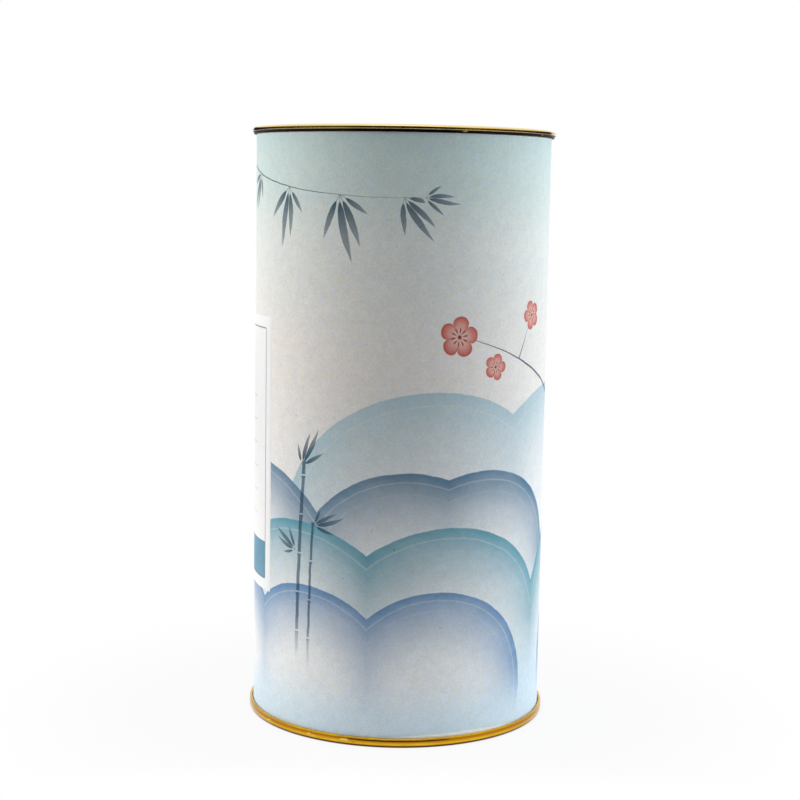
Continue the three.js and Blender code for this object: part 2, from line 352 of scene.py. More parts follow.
wrapSheet = {
    "startAngle": 120.0,  # degrees to the right of the front, where the sheet starts
    "edgeAngle": 130.31,  # where it ends, on top of its start
    "ramp": (-6.876, -1.146),  # degrees before the start is reached again
    "bottom": 1.8,
    "height": 197.0,
    "thickness": can["wrap"],
    "edge": 0.0,  # width over which its edges thin out
    "flare": 0.16,  # how far its ends lean out into the seams
    "flareShare": 0.026,  # of its height, at each end
    "steps": (373, 131),  # points around and up
    "weld": 0.000002,  # closer points of the two faces of a sheet are one
}
wallPlane = makeWallPlane()
paperGrain = makePaperGrain()
tinWear = makeTinWear()
leafSprayGroup = makeLeafSpray()
cloudBank = makeCloudBank()
blossom = makeBlossom()
print("shader groups made")


# Printed paper

wrapPrint = {
    "ground": (  # share of the height, colour
        (0.00, (200, 219, 232)), (0.07, (208, 226, 238)), (0.20, (224, 234, 241)), (0.40, (238, 239, 240)),
        (0.62, (238, 236, 234)), (0.80, (229, 234, 233)), (0.92, (209, 226, 226)), (1.00, (195, 218, 219)),
    ),
    "banks": (  # pitch, shift, radius, base, depth, rim colour, strength
        (88.0, 0.30, 56.0, 60.0, 30.0, (160, 196, 210), 0.75),
        (66.0, 3.55, 40.0, 50.0, 25.0, (84, 126, 158), 0.95),
        (74.0, 7.20, 45.0, 27.0, 27.0, (92, 158, 178), 0.95),
        (58.0, 11.85, 35.0, 16.0, 23.0, (98, 142, 186), 0.95),
    ),
    "mist": ink(234, 238, 241),
    "margin": (20.0, 22.0, 3.2, 1.0),  # painted light, a pale crescent on the paper above the lower seam near the front: middle, half length, start and height
    # painted light: above this height the paper is made pale, offsetting the shadow under the upper seam
    "upperPaintedLight": 197.0,
    # the pale colour of the painted light along both edges of the wrap
    "bare": ink(236, 243, 246),
    "leafInk": ink(38, 74, 96),
    "sprays": (  # along, up, turn, size
        (-60.8, 184.3, -126.0, 0.8), (-41.0, 180.3, -98.0, 1.0), (-20.7, 178.0, -76.0, 1.1),
        (0.2, 177.3, -52.0, 0.85), (7.0, 177.6, -8.0, 0.6), (118.0, 176.0, -100.0, 1.1),
        (126.0, 181.0, -62.0, 0.9), (-152.0, 178.0, -75.0, 1.1), (-168.0, 182.0, -110.0, 0.9),
        (-34.0, 90.5, 64.0, 0.7), (-29.0, 71.0, 20.0, 0.6), (-36.8, 62.0, 150.0, 0.6),
    ),
    "twigs": (  # along, up, turn, length, half width
        (-80.0, 190.0, -19.0, 88.0, 0.34), (140.0, 190.0, 207.0, 26.0, 0.3),
        (-190.0, 187.0, -14.0, 42.0, 0.3), (72.0, 112.0, 150.0, 62.0, 0.5), (44.0, 125.5, 62.0, 16.0, 0.3),
    ),
    "canes": (  # along, foot, top, half width
        (-36.0, 22.0, 92.0, 0.75), (-31.0, 20.0, 72.0, 0.55), (148.0, 24.0, 104.0, 0.75),
    ),
    "flowers": (  # along, up, turn, size
        (19.0, 133.6, 10.0, 6.8), (51.5, 139.6, 40.0, 5.0), (33.0, 123.6, 0.0, 4.4),
        (-176.0, 128.0, 20.0, 6.0),
    ),
    "inkEdge": 0.16,  # softness of a brush stroke
    "twigBow": -0.0022,
    "caneJoint": 13.0,  # between two joints of a cane
    "caneFade": 22.0,  # height over which its foot fades in
    "caneSway": 0.0006,
    "sprayMiddle": (8.0, 0.0, 0.0),
    "flowerRed": ink(190, 62, 52),
    "flowerPale": ink(240, 198, 188),
    "heart": ink(120, 40, 42),
}


def makePrintedPaper():
    material, tree, shader, spot = startMaterial("printedPaper")
    wall = useGroup(tree, wallPlane, Vector=spot)
    wobble = noise(tree, spot, 150.0, 3.0, 0.6) - 0.5
    along = wall["Along"] + wobble * 0.9
    up = wall["Up"] + (noise(tree, stretch(tree, spot, 1.0, 1.0, -1.0), 130.0, 3.0, 0.6) - 0.5) * 0.9
    plane = join(tree, along, up)

    ground = tree.nodes.new("ShaderNodeValToRGB")
    ground.color_ramp.interpolation = "EASE"
    stops = ground.color_ramp.elements
    while len(stops) < len(wrapPrint["ground"]):
        stops.new(0.5)
    for stop, (share, colour) in zip(stops, wrapPrint["ground"]):
        stop.position = share
        stop.color = ink(*colour)
    feed(tree, ground.inputs[0], wall["Up"] / can["height"])
    colour = ground.outputs[0]

    wash = noise(tree, stretch(tree, spot, 1.0, 1.0, 1.6), 48.0, 4.0, 0.6)
    for pitch, shift, radius, base, depth, rimColour, strength in wrapPrint["banks"]:
        bank = useGroup(tree, cloudBank, Along=along, Up=up, Pitch=pitch, Shift=shift, Radius=radius,
                        Base=base, Depth=depth)
        tone = bank["Rim"] * (wash * 0.5 + 0.75) * strength
        filled = mixColour(tree, tone, wrapPrint["mist"], ink(*rimColour))
        lined = mixColour(tree, bank["Line"] * bank["Rim"] * 0.4, filled, wrapPrint["mist"])
        colour = mixColour(tree, bank["Cover"], colour, lined)

    strokes = None
    for *root, length, half in wrapPrint["twigs"]:
        x, y, _ = split(tree, insideMotif(tree, plane, (*root, 1.0)))
        share = x / length
        width = (share * -0.75 + 1.0) * half
        off = abs(y + (x * x) * wrapPrint["twigBow"])
        stroke = ((width - off) / wrapPrint["inkEdge"]).clamp() * abs(share - 0.5).math("LESS_THAN", 0.5)
        strokes = stroke if strokes is None else strokes.max(stroke)
    nearest = insideNearest(tree, plane, wrapPrint["sprays"], wrapPrint["sprayMiddle"])
    spray = useGroup(tree, leafSprayGroup, Local=nearest)
    strokes = strokes.max(spray["Ink"])
    for place, low, high, half in wrapPrint["canes"]:
        joint = ((up - low) / wrapPrint["caneJoint"]).math("FRACT")
        swell = abs(joint - 0.5).ramp(0.40, 0.5, 0.0, 0.25)
        sway = (up - low) * (up - low) * wrapPrint["caneSway"]
        cane = ((swell + half - abs(along - place - sway)) / wrapPrint["inkEdge"]).clamp()
        cane = cane * up.ramp(low, low + wrapPrint["caneFade"]) * up.math("LESS_THAN", high)
        cane = cane * joint.math("GREATER_THAN", 0.045)
        strokes = strokes.max(cane * 0.85)
    density = strokes * (wash * 0.4 + 0.72)
    colour = mixColour(tree, density, colour, wrapPrint["leafInk"])

    nearest = insideNearest(tree, plane, wrapPrint["flowers"], (0.0, 0.0, 0.0))
    flower = useGroup(tree, blossom, Local=nearest)
    depth = flower["Edge"] * (wash * 0.5 + 0.7)
    petals = mixColour(tree, depth, wrapPrint["flowerPale"], wrapPrint["flowerRed"])
    petals = mixColour(tree, flower["Heart"], petals, wrapPrint["heart"])
    colour = mixColour(tree, flower["Petal"], colour, petals)

    # painted light: a pale crescent on the paper just above the lower seam
    middle, half, low, height = wrapPrint["margin"]
    aside = (wall["Along"] - middle) / half
    edge = (aside * aside * -1.0 + 1.0) * height + low - wall["Up"]
    # painted light at the upper edge of the wrap, offsetting the shadow under the upper seam
    upper = wrapPrint["upperPaintedLight"]
    bare = (edge / 0.3).clamp().max(wall["Up"].ramp(upper, upper + 0.4))
    colour = mixColour(tree, bare, colour, wrapPrint["bare"])

    grain = useGroup(tree, paperGrain, Vector=spot, Colour=colour, Amount=1.0, Speck=0.32)
    shader.inputs["Specular IOR Level"].default_value = 0.35
    dress(tree, shader, grain["Colour"], grain["Height"] * 0.12 + 0.46, grain["Height"], 0.25, 0.00006)
    return material


labelPrint = {
    "angle": -58.5,  # degrees to the right of the front of its nearer edge
    "width": 70.0,
    "height": 92.5,
    "bottom": 45.0,
    "radius": 50.01,  # its back lies on the wrap
    "thickness": 0.12,
    "edge": 0.5,
    "flare": 0.0,
    "steps": (93, 19),  # points around and up
    "margin": 3.9,  # from the edge to the frame line
    "corner": 0.7,  # radius of the frame line
    "line": 0.19,  # half width of the frame line
    "band": 12.6,  # height of the band at the bottom of the frame
    "paper": ink(243, 245, 248),
    "frame": ink(104, 108, 112),
    "bandColour": ink(72, 138, 168),
    "rules": (70.0, 8.0, 6),  # height of the first writing line, step, how many
    "ruleInset": 9.0,  # from the frame line to their ends
    "sprig": (-86.0, 121.0, 28.0, 0.62),  # along, up, turn, size
}


def makeLabelPaper():
    material, tree, shader, spot = startMaterial("labelPaper")
    wall = useGroup(tree, wallPlane, Vector=spot)
    right = math.radians(labelPrint["angle"]) * can["bodyRadius"]
    middleAlong = right - labelPrint["width"] / 2
    middleUp = labelPrint["bottom"] + labelPrint["height"] / 2
    inset = labelPrint["margin"] + labelPrint["corner"]
    overX = abs(wall["Along"] - middleAlong) - (labelPrint["width"] / 2 - inset)
    overY = abs(wall["Up"] - middleUp) - (labelPrint["height"] / 2 - inset)
    border = lengthOf(overX.max(0.0), overY.max(0.0)) + overX.max(overY).min(0.0) - labelPrint["corner"]
    frameLine = abs(border).below(labelPrint["line"], 0.12)
    bandTop = labelPrint["bottom"] + labelPrint["margin"] + labelPrint["band"]
    band = border.below(-0.1, 0.1) * wall["Up"].below(bandTop, 0.1)
    firstRule, ruleStep, ruleCount = labelPrint["rules"]
    rows = (wall["Up"] - firstRule) / ruleStep
    rule = (abs((rows + 0.5).math("FRACT") - 0.5) * ruleStep).below(0.1, 0.1)
    rule = rule * rows.math("GREATER_THAN", -0.3) * rows.math("LESS_THAN", ruleCount - 0.7)
    rule = rule * border.below(-labelPrint["ruleInset"], 0.2)
    sprig = useGroup(tree, leafSprayGroup, Local=insideMotif(tree, wall["Plane"], labelPrint["sprig"]))
    wash = noise(tree, spot, 60.0, 3.0, 0.6)
    colour = mixColour(tree, rule * 0.55, labelPrint["paper"], labelPrint["frame"])
    colour = mixColour(tree, sprig["Ink"] * 0.8, colour, labelPrint["bandColour"])
    colour = mixColour(tree, frameLine, colour, labelPrint["frame"])
    colour = mixColour(tree, band * (wash * 0.3 + 0.82), colour, labelPrint["bandColour"])
    grain = useGroup(tree, paperGrain, Vector=spot, Colour=colour, Amount=0.4, Speck=0.05)
    dress(tree, shader, grain["Colour"], grain["Height"] * 0.08 + 0.36, grain["Height"], 0.15, 0.00004)
    return material


# Tinplate, foil, board and compound

tinFinish = {
    "lacquer": (0.80, 0.47, 0.024, 1.0),
    "deep": (0.68, 0.36, 0.012, 1.0),
    "bare": (0.80, 0.72, 0.52, 1.0),
    "wear": 0.15,
    # colour of the painted highlight on the roll of the upper seam and the lower edge of its bead
    "paintedHighlight": (0.93, 0.85, 0.56, 1.0),
    "crestHighlight": (0.1992, 0.1997, 0.0, 0.75),  # a painted highlight: the upper seam is painted paler between these heights
    "beadEdgeHighlight": (0.19856, 0.19868),  # and as a painted highlight at the lower edge of its bead
    "dentRubAndGlint": (0.78, 0.56, 0.14, 1.0),
    "knock": (0.01, 0.04, 0.0, 0.9),  # depth of a knock in millimetres, and how far it is painted paler: rubbed lacquer and a painted highlight in the dent
    "outerFace": 0.0503,  # the outer faces of both seams lie beyond this radius
    "upperSeam": 0.19,  # and those of the upper one above this height
    "underBead": (0.19846, 0.19854, 1.0, 0.0),  # painted shade: black below the bead
    "underBeadShade": (0.012, 0.010, 0.008, 1.0),
    "groove": (0.0011, 0.0021),  # painted shade: darkened brown towards the groove of the lower seam
    "grooveTop": 0.00255,
    "standing": (0.0005, 0.0010, 1.0, 0.0),  # and painted shade, dark along the standing edge
    "grooveShade": (0.44, 0.18, 0.003, 1.0),
    "standingEdgeShade": (0.05, 0.011, 0.002, 1.0),
}


def makeGoldTin():
    material, tree, shader, spot = startMaterial("goldTin")
    wear = useGroup(tree, tinWear, Vector=spot, Amount=tinFinish["wear"])
    colour = mixColour(tree, wear["Smear"].ramp(0.35, 0.7), tinFinish["deep"], tinFinish["lacquer"])
    knock = Wire(tree, addNode(tree, "ShaderNodeAttribute", attribute_name="knock").outputs["Fac"])
    x, y, z = split(tree, spot)
    # painted highlight along the lower edge of the bead of the upper seam
    low, high = tinFinish["beadEdgeHighlight"]
    edge = z.math("GREATER_THAN", low) * z.math("LESS_THAN", high)
    outside = lengthOf(x, y).math("GREATER_THAN", tinFinish["outerFace"])
    # painted shade: the outer face below the bead of the upper seam turns black
    under = z.ramp(*tinFinish["underBead"]) * outside * z.math("GREATER_THAN", tinFinish["upperSeam"])
    # painted shade in the groove of the lower seam
    grooveShading = z.ramp(*tinFinish["groove"]) * z.math("LESS_THAN", tinFinish["grooveTop"]) * outside
    for share, tone in (
        (wear["Rub"], "bare"),
        # painted highlight on the upper seam
        (z.ramp(*tinFinish["crestHighlight"]).max(edge), "paintedHighlight"),
        # painted shade below the bead
        (under, "underBeadShade"),
        # painted shade in the groove
        (grooveShading, "grooveShade"),
        # painted shade along the standing edge
        (z.ramp(*tinFinish["standing"]) * outside, "standingEdgeShade"),
        # rubbed lacquer and painted highlight in the knocks
        (knock.ramp(*tinFinish["knock"]), "dentRubAndGlint"),
    ):
        colour = mixColour(tree, share, colour, tinFinish[tone])
    roughness = wear["Smear"] * 0.08 + wear["Rub"] * 0.2 + under * 0.3 + 0.12
    shader.inputs["Metallic"].default_value = 1.0
    shader.inputs["Coat Weight"].default_value = 0.1
    shader.inputs["Coat Roughness"].default_value = 0.06
    dress(tree, shader, colour, roughness, wear["Height"], 0.18, 0.00005)
    return material


def makeFoil():
    material, tree, shader, spot = startMaterial("foil")
    wear = useGroup(tree, tinWear, Vector=spot, Amount=0.5)
    crease = noise(tree, stretch(tree, spot, 1.0, 1.0, 0.45), 150.0, 5.0, 0.62)
    tone = mixColour(tree, crease.ramp(0.35, 0.65), ink(196, 198, 200), ink(226, 227, 228))
    colour = mixColour(tree, wear["Rub"], tone, ink(176, 178, 180))
    shader.inputs["Metallic"].default_value = 1.0
    dress(tree, shader, colour, crease * 0.2 + 0.24, crease + wear["Height"] * 0.2, 0.35, 0.0003)
    return material


def makeBoard():
    material, tree, shader, spot = startMaterial("board")
    fibre = noise(tree, stretch(tree, spot, 700.0, 700.0, 160.0), 1.0, 3.0, 0.6)
    colour = mixColour(tree, fibre, ink(158, 128, 94), ink(192, 164, 128))
    grain = useGroup(tree, paperGrain, Vector=spot, Colour=colour, Amount=1.5, Speck=0.4)
    relief = fibre + grain["Height"] * 0.5
    dress(tree, shader, grain["Colour"], grain["Height"] * 0.1 + 0.78, relief, 0.4, 0.0001)
    return material


def makeCompound():
    material, tree, shader, spot = startMaterial("sealingCompound")
    lump = noise(tree, spot, 900.0, 3.0, 0.6)
    colour = mixColour(tree, lump, ink(126, 130, 122), ink(154, 157, 148))
    dress(tree, shader, colour, lump * 0.2 + 0.6, lump, 0.3, 0.00008)
    return material


printedPaper = makePrintedPaper()
labelPaper = makeLabelPaper()
goldTin = makeGoldTin()
foil = makeFoil()
board = makeBoard()
compound = makeCompound()
print("materials made")


# Outlines as lists of (radius, depth), depth counted from an end of the can towards its middle

def bentLine(corners):
    line = []

    def addPoint(point):
        if not line or (line[-1] - point).length > 1e-5:
            line.append(point)

    points = [Vector(corner[:2]) for corner in corners]
    for index, corner in enumerate(corners):
        here = points[index]
        bend = corner[2] if len(corner) > 2 else 0.0
        if bend <= 0:
            addPoint(here)
            continue
        back = (points[index - 1] - here).normalized()
        ahead = (points[index + 1] - here).normalized()
        turn = math.pi - back.angle(ahead)
        side = 1 if ahead.cross(back) > 0 else -1
        centre = here + (back + ahead).normalized() * bend / math.cos(turn / 2)
        start = here + back * bend * math.tan(turn / 2)
        steps = corner[3] if len(corner) > 3 else max(3, round(math.degrees(turn) / can["bendStep"]))
        for step in range(steps + 1):
            addPoint(centre + Matrix.Rotation(side * turn * step / steps, 2) @ (start - centre))
    return line


def stripOutline(line, thickness):
    near, far = [], []
    last = len(line) - 1
    for index, point in enumerate(line):
        arriving = point - line[max(index - 1, 0)]
        leaving = line[min(index + 1, last)] - point
        first = (leaving if index == 0 else arriving).normalized()
        second = (arriving if index == last else leaving).normalized()
        along = (first + second).normalized()
        across = Vector((-along.y, along.x)) * (thickness / 2 / along.dot(first))
        near.append(point + across)
        far.insert(0, point - across)
    return near + far


def tubeOutline(inner, outer, low, high):
    return [Vector(pair) for pair in ((inner, low), (outer, low), (outer, high), (inner, high))]


def fromTop(outline):
    return [Vector((point.x, can["height"] - point.y)) for point in outline]


# how far small knocks of (degrees, height, depth, width) push in one point of a turned piece
def knocked(radius, height, degrees, knocks):
    depths = [0.0]
    for at, level, depth, width in knocks:
        aside = math.radians((degrees - at + 180.0) % 360.0 - 180.0) * radius
        away = (aside / width) ** 2 + ((height - level) / (width * can["knockShape"])) ** 2
        depths.append(depth * math.exp(-away))
    return max(depths)


# even steps around a turned piece, with closer ones where it is knocked
def stepsAround(knocks):
    steps = [360.0 * step / can["segments"] for step in range(can["segments"])]
    for at, _, _, width in knocks:
        for part in range(-can["knockSteps"], can["knockSteps"] + 1):
            aside = 2 * part * width / can["knockSteps"]
            steps.append((at + math.degrees(aside / can["bodyRadius"])) % 360.0)
    steps.sort()
    return [step for step, after in zip(steps, steps[1:] + [360.0]) if after - step > can["leastStep"]]


def spin(name, outline, material, knocks=()):
    mesh = bpy.data.meshes.new(name)
    form = bmesh.new()
    mark = form.verts.layers.float.new("knock")
    around = stepsAround(knocks)
    count = len(around)
    rings = []
    for point in outline:
        if point.x < 1e-6:
            rings.append([form.verts.new((0.0, 0.0, point.y * mm))] * count)
            continue
        ring = []
        for degrees in around:
            push = knocked(point.x, point.y, degrees, knocks)
            radius = (point.x - push) * mm
            turn = math.radians(degrees)
            ring.append(form.verts.new((radius * math.sin(turn), -radius * math.cos(turn), point.y * mm)))
            ring[-1][mark] = push
        rings.append(ring)
    for index, ring in enumerate(rings):
        following = rings[(index + 1) % len(rings)]
        for step in range(count):
            after = (step + 1) % count
            corners = []
            for vert in (ring[step], ring[after], following[after], following[step]):
                if vert not in corners:
                    corners.append(vert)
            if len(corners) > 2:
                form.faces.new(corners)
    bmesh.ops.recalc_face_normals(form, faces=form.faces)
    form.to_mesh(mesh)
    form.free()
    return finishMesh(name, mesh, material)


def finishMesh(name, mesh, material):
    mesh.materials.clear()
    mesh.materials.append(material)
    mesh.shade_smooth()
    mesh.set_sharp_from_angle(angle=math.radians(can["crease"]))
    piece = bpy.data.objects.new(name, mesh)
    scene.collection.objects.link(piece)
    return piece


def place(piece, node, slot, body="can"):
    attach(piece, body)
    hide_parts(node)
    print("placed", piece.name, len(piece.data.polygons), "faces")


# Double seams

seam = {
    "bend": 0.7,
    "bottomHeight": 3.0,
    "lip": 0.42,
    "groove": 0.2,
    "shallow": 0.02,  # the groove stops short of its full depth
    "taper": 0.85,  # height over which it goes in
    "step": 0.08,  # height over which it steps out to the lip
    "barrel": 7.5,  # bend radius where the band starts to taper
    "barrelSteps": 16,
    "topHeight": 2.4,
    "bead": 1.42,  # the skirt under the bead is set in
    "flare": 0.03,
    "flareHeight": 0.08,
    "flareBends": (0.05, 0.06),
    "skirtInset": 0.44,
    "skirtSlope": 0.18,
    "faceBend": 0.1,  # of the smallest corners on both outer faces
    "straight": 0.06,  # between the outer face and the turn of the hook
    "flangeBend": 0.25,  # of the outer ply where it turns out
}
chuck = linerInner - can["gap"] - halfTin
coverHook = overlapOuter + can["gap"] + halfTin
bodyHook = coverHook + halfTin + can["gap"] + halfBoard
grooveRadius = bodyHook + halfBoard + can["gap"] + halfTin
bandRadius = grooveRadius + seam["groove"]
lipRadius = grooveRadius + seam["groove"] / 2
compoundDepth = can["tin"] + can["gap"]
flangeDepth = compoundDepth + can["compound"] + can["gap"] + halfBoard
plyEnd = halfTin + seam["bend"]


# the tinplate of a seam from the wall inside the can to the tip of the cover hook
def seamCorners(height, face):
    outermost, innermost = face[0][0], face[-1][0]
    turnDepth = height - halfTin
    turnRadius = min((innermost - coverHook) / 2, turnDepth - face[-1][1] - seam["straight"])
    return [
        (chuck, halfTin, seam["bend"]),
        (outermost, halfTin, seam["bend"]),
        *face,
        (innermost, turnDepth, turnRadius),
        (coverHook, turnDepth, turnRadius),
        (coverHook, flangeDepth + halfBoard + 3 * can["gap"]),
    ]


def bottomSeam():
    lipDepth = seam["bottomHeight"] - seam["lip"]
    deepest = lipDepth - seam["step"]
    return seamCorners(seam["bottomHeight"], [
        (bandRadius, deepest - seam["taper"], seam["barrel"], seam["barrelSteps"]),
        (grooveRadius + seam["shallow"], deepest),
        (lipRadius, lipDepth, seam["faceBend"]),
    ])


def topSeam():
    upperBend, edgeBend = seam["flareBends"]
    return seamCorners(seam["topHeight"], [
        (bandRadius - seam["flare"], seam["bead"] - seam["flareHeight"], upperBend),
        (bandRadius, seam["bead"], edgeBend),
        (bandRadius - seam["skirtInset"], seam["bead"] + seam["skirtSlope"], seam["faceBend"]),
    ])


# a pressed ring of the bottom or the lid
rib = {"height": 0.6, "width": 3.0, "bend": 0.5}


def ribCorners(radius, depth):
    half, height, bend = rib["width"] / 2, rib["height"], rib["bend"]
    return [
        (radius - half - height, depth, bend),
        (radius - half, depth - height, bend),
        (radius + half, depth - height, bend),
        (radius + half + height, depth, bend),
    ]


bottomEnd = {
    "depth": 4.4,
    "panelDrop": 1.0,
    "moat": 1.8,
    "panelBend": 0.6,
    "moatBend": 0.5,
    "ribs": (0.45, 0.8),  # of the panel's radius
    "knocks": (  # degrees to the right of the front, height, depth, width
        (-56.0, 1.6, 0.06, 1.0), (-33.4, 1.65, 0.06, 0.9), (-31.2, 1.35, 0.04, 0.8), (-18.8, 1.65, 0.06, 1.5),
        (-14.9, 1.5, 0.06, 0.6), (96.0, 1.5, 0.06, 1.0), (171.0, 1.4, 0.06, 1.2),
    ),
}


def makeBottomEnd():
    moatInner = chuck - bottomEnd["moat"]
    panelDepth = bottomEnd["depth"] - bottomEnd["panelDrop"]
    panelEdge = moatInner - bottomEnd["panelDrop"]
    corners = [(0.0, panelDepth)]
    for share in bottomEnd["ribs"]:
        corners += ribCorners(share * panelEdge, panelDepth)
    corners += [
        (panelEdge, panelDepth, bottomEnd["panelBend"]),
        (moatInner, bottomEnd["depth"], bottomEnd["moatBend"]),
        (chuck, bottomEnd["depth"], seam["bend"]),
    ]
    outline = stripOutline(bentLine(corners + bottomSeam()), can["tin"])
    return spin("bottomEnd", outline, goldTin, bottomEnd["knocks"])


place(makeBottomEnd(), "bottom_end", "tinplate")

topRing = {
    "depth": 7.0,
    "pryGroove": 3.0,
    "shoulderHeight": 2.4,
    "shoulderBend": 0.9,
    "shoulderGap": 0.6,
    "seat": 6.0,
    "curl": 0.6,
    "knocks": (
        (22.0, 198.3, 0.14, 0.7), (62.0, 198.3, 0.1, 0.5), (-140.0, 198.7, 0.1, 0.8),
        (110.0, 198.9, 0.1, 0.7),
    ),
}
lidEdge = chuck - halfTin - topRing["pryGroove"]
lidCurlInner = lidEdge - halfTin - 2 * topRing["curl"]
shoulderOuter = lidCurlInner - halfTin - topRing["shoulderGap"] - halfTin
seatRadius = shoulderOuter - 2 * topRing["shoulderBend"]
shoulderTop = topRing["depth"] - topRing["shoulderHeight"]


def makeTopRing():
    curl = topRing["curl"]
    bend = topRing["shoulderBend"]
    seatEnd = shoulderTop + topRing["seat"]
    curlOuter = seatRadius + 2 * curl
    corners = [
        (seatRadius + curl, seatEnd - 2 * curl),
        (curlOuter, seatEnd - 2 * curl, curl),
        (curlOuter, seatEnd, curl),
        (seatRadius, seatEnd, curl),
        (seatRadius, shoulderTop, bend),
        (shoulderOuter, shoulderTop, bend),
        (shoulderOuter, topRing["depth"], bend),
        (chuck, topRing["depth"], seam["bend"]),
    ]
    outline = stripOutline(bentLine(corners + topSeam()), can["tin"])
    return spin("topRing", fromTop(outline), goldTin, topRing["knocks"])


place(makeTopRing(), "top_ring", "tinplate")

plugLid = {
    "clearance": 0.15,
    "rest": 0.1,
    "depth": 8.0,
    "bend": 1.2,
    "panelRaise": 1.2,
    "panelBend": 0.7,
    "panelShare": 0.85,  # of the plug's radius
    "ribShare": 0.6,  # of the panel's radius
}


def makePlugLid():
    curl = topRing["curl"]
    plug = seatRadius - can["tin"] - plugLid["clearance"]
    flange = shoulderTop - can["tin"] - plugLid["rest"]
    floor = flange + plugLid["depth"]
    panelDepth = floor - plugLid["panelRaise"]
    panelEdge = plugLid["panelShare"] * plug
    curlOuter = lidEdge - halfTin
    corners = [(0.0, panelDepth)]
    corners += ribCorners(plugLid["ribShare"] * panelEdge, panelDepth)
    corners += [
        (panelEdge, panelDepth, plugLid["panelBend"]),
        (panelEdge + plugLid["panelRaise"], floor, plugLid["panelBend"]),
        (plug, floor, plugLid["bend"]),
        (plug, flange, topRing["shoulderBend"]),
        (curlOuter, flange, curl),
        (curlOuter, flange + 2 * curl, curl),
        (lidCurlInner, flange + 2 * curl, curl),
        (lidCurlInner, flange + curl),
    ]
    outline = stripOutline(bentLine(corners), can["tin"])
    return spin("plugLid", fromTop(outline), goldTin)


place(makePlugLid(), "plug_lid", "tinplate", "lid")


# Paper wall

def makePlies():
    low, high = plyEnd, can["height"] - plyEnd
    for name, outer, thickness, material, node, slot in (
        ("foilLiner", linerOuter, can["liner"], foil, "foil_liner", "foil"),
        ("innerPly", innerPlyOuter, can["board"], board, "inner_board_ply", "board"),
        ("middlePly", middlePlyOuter, can["board"], board, "middle_board_ply", "board"),
    ):
        place(spin(name, tubeOutline(outer - thickness, outer, low, high), material), node, slot)
    middle = outerPlyOuter - halfBoard
    hookBend = seam["bend"] - (bandRadius - bodyHook)
    flangeBend = seam["flangeBend"]
    top = can["height"]
    outline = stripOutline(bentLine([
        (bodyHook, seam["bottomHeight"] - halfTin - (lipRadius - coverHook) / 2 - can["gap"]),
        (bodyHook, flangeDepth, hookBend),
        (middle, flangeDepth, flangeBend),
        (middle, top - flangeDepth, flangeBend),
        (bodyHook, top - flangeDepth, hookBend),
        (bodyHook, top - seam["bead"] + can["gap"]),
    ]), can["board"])
    place(spin("outerPly", outline, board), "outer_board_ply", "board")


makePlies()


def makeCompoundRings():
    ring = tubeOutline(chuck + seam["bend"], bandRadius - seam["bend"],
                       compoundDepth, compoundDepth + can["compound"])
    place(spin("bottomCompound", ring, compound), "bottom_sealing_compound", "compound")
    place(spin("topCompound", fromTop(ring), compound), "top_sealing_compound", "compound")


makeCompoundRings()


# a sheet of paper wound on the wall, as a node tree that the wrap and the label share
def makeSheetTree():
    inputs = {name: "Float" for name in ("Start", "Span", "Radius", "Rise", "Ramp Start", "Ramp End",
                                         "Bottom", "Height", "Thickness", "Edge", "Flare")}
    inputs.update({"Steps Around": "Int", "Steps Up": "Int", "Material": "Material"})
    tree, given, sink = startGroup("woundSheet", inputs, {"Geometry": "Geometry"}, "GeometryNodeTree")
    grid = addNode(tree, "GeometryNodeMeshGrid",
                   {"Size X": 1.0, "Size Y": 1.0, "Vertices X": given["Steps Around"],
                    "Vertices Y": given["Steps Up"]}).outputs["Mesh"]
    x, y, _ = split(tree, addNode(tree, "GeometryNodeInputPosition").outputs[0])

    def layOut(value, steps, edge):  # the outermost ring of points folds down over the edge of the sheet
        step = (value + 0.5) * (steps - 1.0)
        share = ((step - 1.0) / (steps - 3.0)).clamp()
        border = abs(value).math("GREATER_THAN", (steps - 2.0) / (steps - 1.0) * 0.5 + 0.0001)
        inside = (share * -1.0 + 0.5) * 2.0 * edge
        return share + inside * (border * -1.0 + 1.0), border

    around, sideBorder = layOut(x, given["Steps Around"], given["Edge"] / (given["Span"] * given["Radius"]))
    up, endBorder = layOut(y, given["Steps Up"], given["Edge"] / given["Height"])
    angle = given["Start"] + around * given["Span"]
    lean = abs(up - 0.5).ramp(0.5 - wrapSheet["flareShare"], 0.5) * given["Flare"]
    radius = given["Radius"] + lean + angle.ramp(given["Ramp Start"], given["Ramp End"]) * given["Rise"]
    height = given["Bottom"] + up * given["Height"]

    def wind(reach):
        spot = join(tree, reach * angle.math("SINE"), reach * angle.math("COSINE") * -1.0, height)
        return addNode(tree, "GeometryNodeSetPosition", {"Geometry": grid, "Position": spot}).outputs[0]

    outside = wind(radius + sideBorder.max(endBorder) * -1.0 * given["Thickness"] + given["Thickness"])
    inside = addNode(tree, "GeometryNodeFlipFaces", {"Mesh": wind(radius)}).outputs[0]
    both = addNode(tree, "GeometryNodeJoinGeometry")
    tree.links.new(outside, both.inputs[0])
    tree.links.new(inside, both.inputs[0])
    closed = addNode(tree, "GeometryNodeMergeByDistance",
                     {"Geometry": both.outputs[0], "Distance": wrapSheet["weld"]})
    real = addNode(tree, "GeometryNodeRealizeInstances", {"Geometry": closed.outputs[0]})
    covered = addNode(tree, "GeometryNodeSetMaterial",
                      {"Geometry": real.outputs[0], "Material": given["Material"]})
    return endGroup(tree, sink, Geometry=covered.outputs[0])


sheetTree = makeSheetTree()


